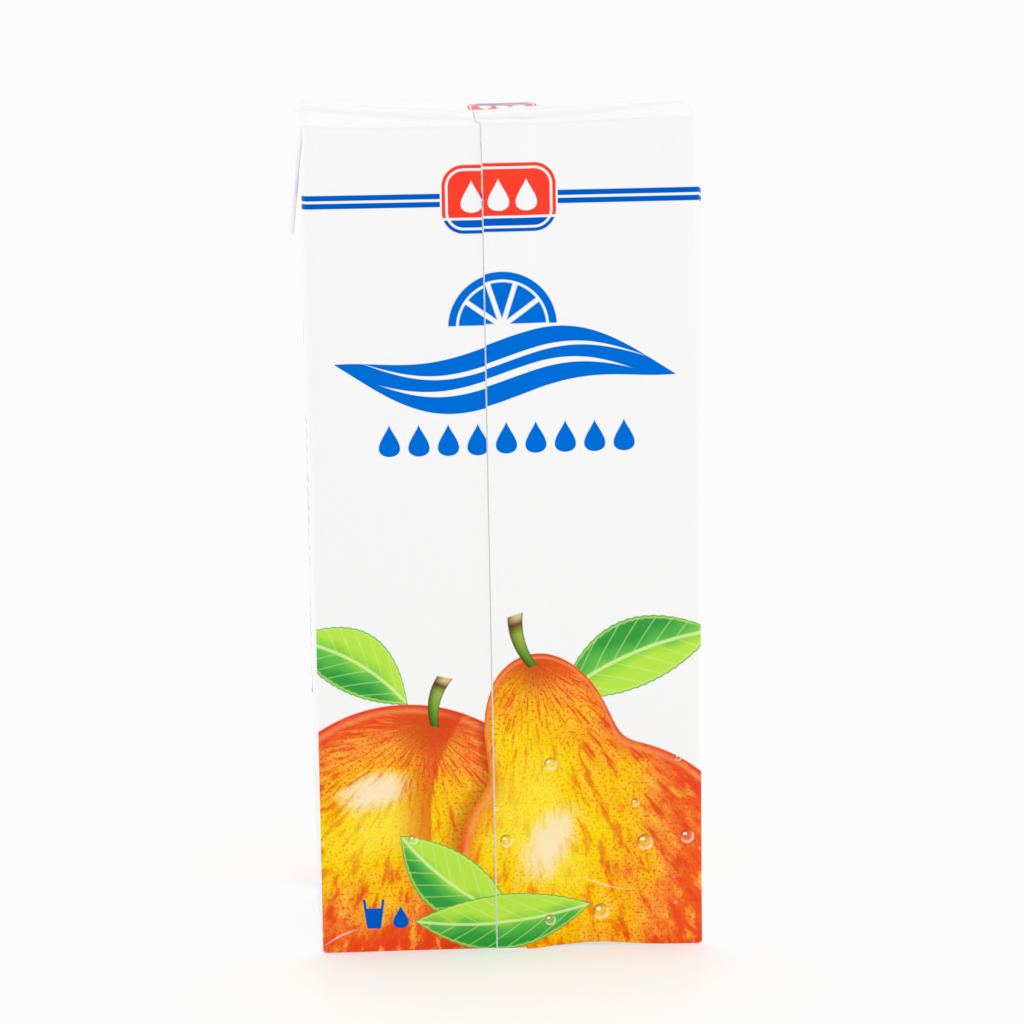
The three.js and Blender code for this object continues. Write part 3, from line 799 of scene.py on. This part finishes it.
def narrow_print(tree, colours):
    """Print of a narrow panel: stripes, drops, grey rows, a blue ring and a ruled frame."""
    point = panel_point(tree, 1)
    art = stripes(tree, colours.board, point, colours, BREAK_UNDER_EAR)
    across, above = add(tree, "SeparateXYZ", point).node.outputs[:2]
    width = add(tree, "Math", across, operation="ABSOLUTE")

    # Grey rows of uneven length
    row = add(tree, "Math", above, ROW_PITCH, operation="DIVIDE")
    within = add(tree, "Math", row, 0.5, operation="PINGPONG")
    bar = add(tree, "MapRange", within, 0.33, 0.36)
    draw = add(tree, "TexWhiteNoise", add(tree, "Math", row, operation="FLOOR"), noise_dimensions="1D")
    length = add(tree, "MapRange", draw, 0.0, 1.0, *ROW_HALVES)
    printed = add(tree, "Math", width, length, operation="LESS_THAN")
    bar = add(tree, "Math", bar, printed, operation="MULTIPLY")
    blocks = []
    for middle, half in ROW_BLOCKS:
        own = add(tree, "Mapping", point, *placed((0, middle)))
        blocks.append(rounded_block(tree, own, (25, half), 0.5))
    blocks = add(tree, "Math", *blocks, operation="MINIMUM")
    blocks = add(tree, "Math", blocks, 0.5, operation="LESS_THAN")
    bar = add(tree, "Math", bar, blocks, operation="MULTIPLY")
    art = add(tree, "Mix", bar, art, colours.grey)

    ring = apart(tree, ellipse(tree, point, *BLUE_RING), 1.0)
    ring = add(tree, "MapRange", ring, 0.11, 0.06)
    box_point = add(tree, "Mapping", point, *placed(RULED_FRAME))
    edge = apart(tree, rounded_block(tree, box_point, FRAME_HALF, FRAME_CORNER), FRAME_CORNER)
    marks = add(tree, "Math", ring, add(tree, "MapRange", edge, 0.34, 0.22), operation="MAXIMUM")
    rule = add(tree, "Math", above, RULE_PITCH / 2, operation="PINGPONG")
    rule = add(tree, "MapRange", rule, 0.3, 0.2, 0.0, 0.6)
    inner = rounded_block(tree, box_point, RULED_HALF, 0.5)
    inner = add(tree, "Math", inner, 0.5, operation="LESS_THAN")
    rule = add(tree, "Math", rule, inner, operation="MULTIPLY")
    marks = add(tree, "Math", marks, rule, operation="MAXIMUM")
    art = add(tree, "Mix", marks, art, colours.stripe)
    return add(tree, "Mix", drop_row(tree, point, *NARROW_DROPS), art, colours.title)


def roof_print(tree, colours):
    """Print of the roof: white, with a small badge that reads from the back."""
    place = placed(ROOF_BADGE, (ROOF_BADGE_SHRINK, ROOF_BADGE_SHRINK), 180)
    own = add(tree, "Mapping", panel_point(tree, 0, 1, 1), *place)
    return badge(tree, colours.board, own, colours)


def plain_board(tree, light, deep):
    """Unprinted board, with the faint clouds of its paper."""
    place = add(tree, "TexCoord").node.outputs["Object"]
    clouds = add(tree, "TexNoise", place, 1 / (9 * MM), 1.0)
    return add(tree, "Mix", clouds, light, deep)


def new_material(name):
    """A new material, with its node tree and its shader."""
    material = bpy.data.materials.new(name)
    material.use_nodes = True
    tree = material.node_tree
    return material, tree, tree.nodes["Principled BSDF"]


def coated_board(name, draw):
    """Bleached carton board under a clear coat of polyethylene. The coat gives a soft, slightly
    wavy gloss, and the paper fibres under it a fine grain."""
    material, tree, shader = new_material(name)
    tree.links.new(draw(tree), shader.inputs["Base Color"])
    place = add(tree, "TexCoord").node.outputs["Object"]
    # Fibre flocks are about 0.8 mm across and the waves of the coat about 6 mm
    flocks = add(tree, "TexNoise", place, 1 / (0.8 * MM), 1.0)
    waves = add(tree, "TexNoise", place, 1 / (6 * MM), 0.0)
    tree.links.new(add(tree, "MapRange", waves, 0.0, 1.0, 0.28, 0.42), shader.inputs["Roughness"])
    relief = add(tree, "Math", flocks, 0.06, waves, operation="MULTIPLY_ADD")
    # Strength, then the relief's height, which runs from crest to hollow
    bump = add(tree, "Bump", 0.15, 0.04 * MM).node
    tree.links.new(relief, bump.inputs["Height"])
    tree.links.new(bump.outputs["Normal"], shader.inputs["Normal"])
    shader.inputs["IOR"].default_value = 1.5
    return material


def cut_paper(colours):
    """Bare paper core at a cut edge of the board: matt, cream and fibrous."""
    material, tree, shader = new_material("cut_paper")
    place = add(tree, "TexCoord").node.outputs["Object"]
    # Fibres at a cut are about 0.3 mm long
    fibres = add(tree, "TexNoise", place, 1 / (0.3 * MM), 2.0)
    colour = add(tree, "Mix", fibres, colours.cut_paper, "#F7F5F0")
    tree.links.new(colour, shader.inputs["Base Color"])
    shader.inputs["Roughness"].default_value = 0.85
    return material


def board_materials(colours):
    """The printed panels, the plain board in a brighter copy of painted light and a darker copy of
    painted shade, and its cut edge, made once and shared.
    """
    prints = {
        "board_front": lambda tree: wide_print(tree, colours, 1, True),
        "board_back": lambda tree: wide_print(tree, colours, -1, False),
        "board_side": lambda tree: narrow_print(tree, colours),
        "board_roof": lambda tree: roof_print(tree, colours),
        # The two unprinted copies differ only in painted light: the first is painted brighter than the
        # board, as painted light on the fins and the body's unprinted faces, and the second darker, as
        # painted shade on the ears and foot corners.
        "board_painted_light": lambda tree: plain_board(tree, "#FCFCFC", "#F9F9F9"),
        "board_painted_shade": lambda tree: plain_board(tree, "#F8F8F8", "#F5F5F5"),
    }
    for name, draw in prints.items():
        if name not in bpy.data.materials:
            coated_board(name, draw)
    if "cut_paper" not in bpy.data.materials:
        cut_paper(colours)
    return {name: bpy.data.materials[name] for name in (*prints, "cut_paper")}


class CARTON_OT_body(Operator):
    """Make the filled body, with its roof, base, overlap seam and printed panels"""

    bl_idname = "carton.body"
    bl_label = "Filled body"

    def execute(self, context):
        form = Form(context.scene.carton_sizes)
        wide, deep, tall = form.half_width, form.half_depth, form.height
        body = new_block("pack_body", (-wide, -deep, 0), (wide, deep, tall))
        pick(body, "EDGE", lambda middle, way: abs(way.z) > 0.9)
        bpy.ops.mesh.bevel(offset=UPRIGHT_RADIUS, segments=4)
        pick(body, "EDGE", lambda middle, way: abs(way.z) < 0.1)
        bpy.ops.mesh.bevel(offset=RIM_RADIUS, segments=3)
        cut_rows(0, spaced(-wide + UPRIGHT_RADIUS, wide - UPRIGHT_RADIUS, 1.6 * MM))
        cut_rows(1, spaced(-deep + UPRIGHT_RADIUS, deep - UPRIGHT_RADIUS, 2 * MM))
        cut_rows(2, spaced(2 * MM, tall - 2 * MM, 2 * MM))
        skew = (SEAM_FOOT_X - SEAM_TOP_X) / tall
        for offset, _ in SEAM_PROFILE[:5]:
            cut((SEAM_FOOT_X + offset, 0, 0), (1, 0, skew))
        move_points(body, form.settle)

        def in_seam_edge(middle, normal):
            away = middle.x - form.seam_x(middle.z)
            return middle.y < -UPRIGHT_RADIUS and SEAM_PROFILE[2][0] < away < 0

        # The body's unprinted faces take the board painted brighter, as painted light.
        names = ("board_painted_light", "board_front", "board_back", "board_side", "board_roof", "cut_paper")
        materials = board_materials(context.scene.carton_colours)
        slots = (
            (1, lambda middle, normal: normal.y < -0.6),
            (2, lambda middle, normal: normal.y > 0.6),
            (3, lambda middle, normal: abs(normal.x) > 0.75),
            (4, lambda middle, normal: normal.z > 0.75),
            (5, in_seam_edge),
        )
        finish_piece(body, [materials[name] for name in names], slots)
        return {"FINISHED"}


class CARTON_OT_top_fin(Operator):
    """Make the pressed cross seam, which leans back over the roof and runs down both ears"""

    bl_idname = "carton.top_fin"
    bl_label = "Top fin"

    def execute(self, context):
        form = Form(context.scene.carton_sizes)
        runs = {side: EAR_BEND_X + form.ear_run(side) for side in (-1, 1)}
        layer = form.doubled / 2
        fin = new_block("top_fin", (-runs[-1], 0, 0), (runs[1], form.fin_width, form.doubled))
        cut_rows(0, spaced(-EAR_BEND_X, EAR_BEND_X, 1.5 * MM))
        for side in (-1, 1):
            bend_end = EAR_BEND_X + EAR_BEND_RADIUS * form.ear_bend(side)
            cut_rows(0, [side * run for run in spaced(EAR_BEND_X, bend_end, 0.3 * MM)])
            cut_rows(0, [side * run for run in spaced(bend_end, runs[side], 2.5 * MM)])
        for groove in FIN_GROOVES:
            cut_rows(1, spaced(groove - FIN_GROOVE_HALF, groove + FIN_GROOVE_HALF, FIN_GROOVE_HALF / 2))
        cut_rows(1, spaced(0, FIN_FOOT, 0.27 * MM)[1:])
        cut_rows(1, [form.fin_width - 0.25 * MM])
        cut_rows(2, [layer - 0.06 * MM, layer, layer + 0.06 * MM])
        for offset, _ in SEAM_PROFILE[:5]:
            cut_rows(0, [SEAM_TOP_X + offset])

        def lay(place, normal):
            return self.laid(form, *place)

        move_points(fin, lay)
        tips = [form.over_rim(side, form.ear_run(side), EAR_BEND_RADIUS)[0] for side in (-1, 1)]

        def cut_face(middle, normal):
            at_tip = any(abs(middle.z - tip.y) < 0.1 * MM and normal.z < -0.7 for tip in tips)
            return normal.y > 0.85 or at_tip

        materials = board_materials(context.scene.carton_colours)
        # The fin takes the board painted brighter, as painted light.
        finish_piece(fin, [materials["board_painted_light"], materials["cut_paper"]], ((1, cut_face),))
        return {"FINISHED"}

    def laid(self, form, run, width, height):
        """Where a point of the flat strip lies on the pack."""
        side = -1 if run < 0 else 1
        over = abs(run) - EAR_BEND_X
        if over <= 0:
            place = Vector((run, form.height + form.roof_offset(run, 0)))
            out = Vector((0, 1))
            tilt = blend(FIN_TILT[0], FIN_TILT[side], (abs(run) / EAR_BEND_X) ** 2)
            tilt -= FIN_DIMPLE_TILT * exp(-(((run - FIN_DIMPLE_X) / FIN_DIMPLE_SPREAD) ** 2))
        else:
            place, out = form.over_rim(side, over, EAR_BEND_RADIUS)
            turned = min(1, over / (EAR_BEND_RADIUS * form.ear_bend(side)))
            tilt = blend(FIN_TILT[side], FIN_TILT_ON_EAR, turned)
        height *= sin(pi / 2 * min(1, width / FIN_FOOT))
        layer = form.doubled / 2
        for groove in FIN_GROOVES:
            pressed = 1 - ease(0, FIN_GROOVE_HALF, abs(width - groove))
            height += FIN_GROOVE_DEPTH * pressed * (1 if height < layer else -1)
        if abs(height - layer) < 0.01 * MM and width > form.fin_width - 0.01 * MM:
            width -= 0.3 * MM
        if height > layer:
            height += form.seam_relief(run - SEAM_TOP_X)
        angle = radians(tilt)
        away = Vector((out.x, 0, out.y))
        back = Vector((0, 1, 0))
        across = back * cos(angle) + away * sin(angle)
        thick = away * cos(angle) - back * sin(angle)
        return Vector((place.x, 0, place.y)) - away * FIN_SUNK + across * width + thick * height


class CARTON_OT_top_ears(Operator):
    """Make the two folded corners that hang down over the narrow panels"""

    bl_idname = "carton.top_ears"
    bl_label = "Top ears"

    def execute(self, context):
        form = Form(context.scene.carton_sizes)
        for side, name in ((-1, "top_ear_left"), (1, "top_ear_right")):
            self.make_ear(context, form, side, name)
        return {"FINISHED"}

    def make_ear(self, context, form, side, name):
        """Cuts a triangle of doubled board and bends it over the rim."""
        length = form.ear_run(side)
        thick = form.doubled + 0.1 * MM
        reach = form.half_depth - UPRIGHT_RADIUS
        ear = new_block(name, (-EAR_HIDDEN, -reach, 0), (length, reach, thick))
        trim_flap(ear, EAR_BEND_RADIUS, length, reach)
        bend_end = EAR_BEND_RADIUS * form.ear_bend(side)
        cut_rows(0, spaced(-EAR_HIDDEN, 0, 0.3 * MM)[1:-1])
        cut_rows(0, spaced(0, bend_end, 0.3 * MM) + spaced(bend_end, length, 2 * MM)[1:-1])
        cut_rows(1, spaced(-reach, reach, 2.5 * MM)[1:-1])

        def fold(place, normal):
            run, width, height = place
            half = blend(reach, EAR_TIP, min(1, max(0, run / length)))
            puff = EAR_PUFF * max(0, 1 - (width / half) ** 2) * ease(bend_end, length / 2, run)
            sunk = EAR_SUNK * (ease(0, bend_end, run) - ease(bend_end, length / 3, run))
            radius = EAR_BEND_RADIUS - thick - sunk + height + (puff if height > thick / 2 else 0)
            spot = form.over_rim(side, run, radius)[0]
            sag = form.roof_offset(side * EAR_BEND_X, width) * (1 - ease(0, bend_end, run))
            sag -= 0.08 * MM * (1 - ease(-EAR_HIDDEN, 0, run))
            return Vector((spot.x, width, spot.y + sag))

        move_points(ear, fold)
        materials = board_materials(context.scene.carton_colours)
        # The ears take the board painted darker, as painted shade.
        finish_piece(ear, [materials["board_painted_shade"]])


class CARTON_OT_foot_folds(Operator):
    """Make the corners folded flat under the base, and the fin between them"""

    bl_idname = "carton.foot_folds"
    bl_label = "Foot folds"

    def execute(self, context):
        form = Form(context.scene.carton_sizes)
        materials = board_materials(context.scene.carton_colours)
        thick = form.doubled + 0.1 * MM
        reach = form.half_depth - UPRIGHT_RADIUS
        root = form.half_width - RIM_RADIUS
        tip = form.half_width - form.ear_drop
        for side, name in ((-1, "foot_ear_left"), (1, "foot_ear_right")):
            low = (min(side * root, side * tip), -reach, 0)
            high = (max(side * root, side * tip), reach, thick)
            ear = new_block(name, low, high)
            trim_flap(ear, side * root, side * tip, reach)
            cut_rows(0, spaced(side * tip, side * root, 3 * MM)[1:-1])
            cut_rows(1, spaced(-reach, reach, 3 * MM)[1:-1])
            bpy.ops.object.mode_set(mode="OBJECT")
            # The folded foot corners take the board painted darker, as painted shade.
            finish_piece(ear, [materials["board_painted_shade"]])
        half = tip + 2 * EAR_TIP
        low = (-half, -form.fin_width, FOOT_FIN_LIFT)
        fin = new_block("foot_fin", low, (half, 0, FOOT_FIN_LIFT + form.doubled))
        for groove in FIN_GROOVES:
            cut_rows(1, [-groove - FIN_GROOVE_HALF / 2, -groove, -groove + FIN_GROOVE_HALF / 2])

        def press(place, normal):
            if any(abs(place.y + groove) < 0.01 * MM for groove in FIN_GROOVES) and normal.z < 0:
                place.z += FIN_GROOVE_DEPTH
            return place

        move_points(fin, press)
        cut_face = (1, lambda middle, normal: normal.y < -0.8)
        # The foot fin takes the board painted brighter, as painted light.
        finish_piece(fin, [materials["board_painted_light"], materials["cut_paper"]], (cut_face,))
        return {"FINISHED"}


class CARTON_OT_stage(Operator):
    """Set up the studio: a white floor, soft light from all round and the camera"""

    bl_idname = "carton.stage"
    bl_label = "Stage"

    def execute(self, context):
        self.make_camera(context)
        self.make_floor(context)
        self.make_world(context)
        self.make_lights()
        self.set_exposure(context)
        return {"FINISHED"}

    def set_exposure(self, context):
        """Develops the picture like a bright studio shot: deep blacks, and whites that end at 252."""
        view = context.scene.view_settings
        view.view_transform = "Standard"
        view.use_curve_mapping = True
        mapping = view.curve_mapping
        mapping.black_level = (BLACK_LEVEL, BLACK_LEVEL, BLACK_LEVEL)
        mapping.extend = "HORIZONTAL"
        mapping.curves[3].points[1].location = (WHITE_LEVEL, WHITE_LEVEL)
        mapping.update()

    def make_camera(self, context):
        azimuth, elevation, roll = (radians(angle) for angle in CAMERA_ANGLES)
        back = Vector((sin(azimuth) * cos(elevation), -cos(azimuth) * cos(elevation), sin(elevation)))
        level = Vector((cos(azimuth), sin(azimuth), 0))
        up = back.cross(level)
        right = level * cos(roll) + up * sin(roll)
        up = up * cos(roll) - level * sin(roll)
        bpy.ops.object.camera_add(location=Vector(CAMERA_AIM) + back * CAMERA_DISTANCE)
        camera = context.active_object
        camera.name = "camera"
        turn = Matrix((right, up, back)).transposed()
        camera.rotation_euler = turn.to_euler()
        camera.data.lens = CAMERA_LENS
        camera.data.sensor_width = 36
        camera.data.clip_start = 10 * MM
        context.scene.camera = camera

    def make_floor(self, context):
        bpy.ops.object.select_all(action="DESELECT")
        bpy.ops.mesh.primitive_plane_add(size=12)
        floor = context.active_object
        floor.name = "floor"
        # Glossy, pale acrylic: it mirrors the pack faintly and glows like a lit table
        material, _, shader = new_material("white_acrylic")
        finish = {
            "Base Color": context.scene.carton_colours.floor,
            "Roughness": 0.12,
            "IOR": 1.03,
            "Emission Color": (1, 1, 1, 1),
            "Emission Strength": FLOOR_GLOW,
        }
        for name, value in finish.items():
            shader.inputs[name].default_value = value
        floor.data.materials.append(material)

    def make_world(self, context):
        world = bpy.data.worlds.new("studio")
        world.use_nodes = True
        background = world.node_tree.nodes["Background"]
        background.inputs["Color"].default_value = (1, 1, 1, 1)
        background.inputs["Strength"].default_value = STUDIO_LIGHT
        context.scene.world = world

    def make_lights(self):
        for name, place, size, power in SOFT_BOXES:
            bpy.ops.object.light_add(type="AREA", location=place)
            light = bpy.context.active_object
            light.name = name
            light.data.energy = power
            light.data.shape = "RECTANGLE"
            light.data.size, light.data.size_y = size
            aim = Vector((0, 0, 0.1)) - Vector(place)
            light.rotation_euler = aim.to_track_quat("-Z", "Y").to_euler()


class CARTON_PT_sidebar(Panel):
    """Sidebar panel that lists the carton's pieces"""

    bl_label = "Brick Carton"
    bl_idname = "CARTON_PT_sidebar"
    bl_space_type = "VIEW_3D"
    bl_region_type = "UI"
    bl_category = "Carton"

    def draw(self, context):
        layout = self.layout
        for group in (context.scene.carton_sizes, context.scene.carton_colours):
            for name in group.__annotations__:
                layout.prop(group, name)
        for operator in OPERATORS:
            layout.operator(operator.bl_idname)


PIECES = (CARTON_OT_body, CARTON_OT_top_fin, CARTON_OT_top_ears, CARTON_OT_foot_folds)
OPERATORS = (CARTON_OT_stage, *PIECES)
CLASSES = (CartonSizes, CartonColours, *OPERATORS, CARTON_PT_sidebar)


def register():
    for cls in CLASSES:
        bpy.utils.register_class(cls)
    bpy.types.Scene.carton_sizes = PointerProperty(type=CartonSizes)
    bpy.types.Scene.carton_colours = PointerProperty(type=CartonColours)


def unregister():
    del bpy.types.Scene.carton_colours
    del bpy.types.Scene.carton_sizes
    for cls in reversed(CLASSES):
        bpy.utils.unregister_class(cls)


def main():
    register()
    bpy.ops.carton.stage()
    bpy.ops.carton.body()
    bpy.ops.carton.top_fin()
    bpy.ops.carton.top_ears()
    bpy.ops.carton.foot_folds()


if __name__ == "__main__":
    main()
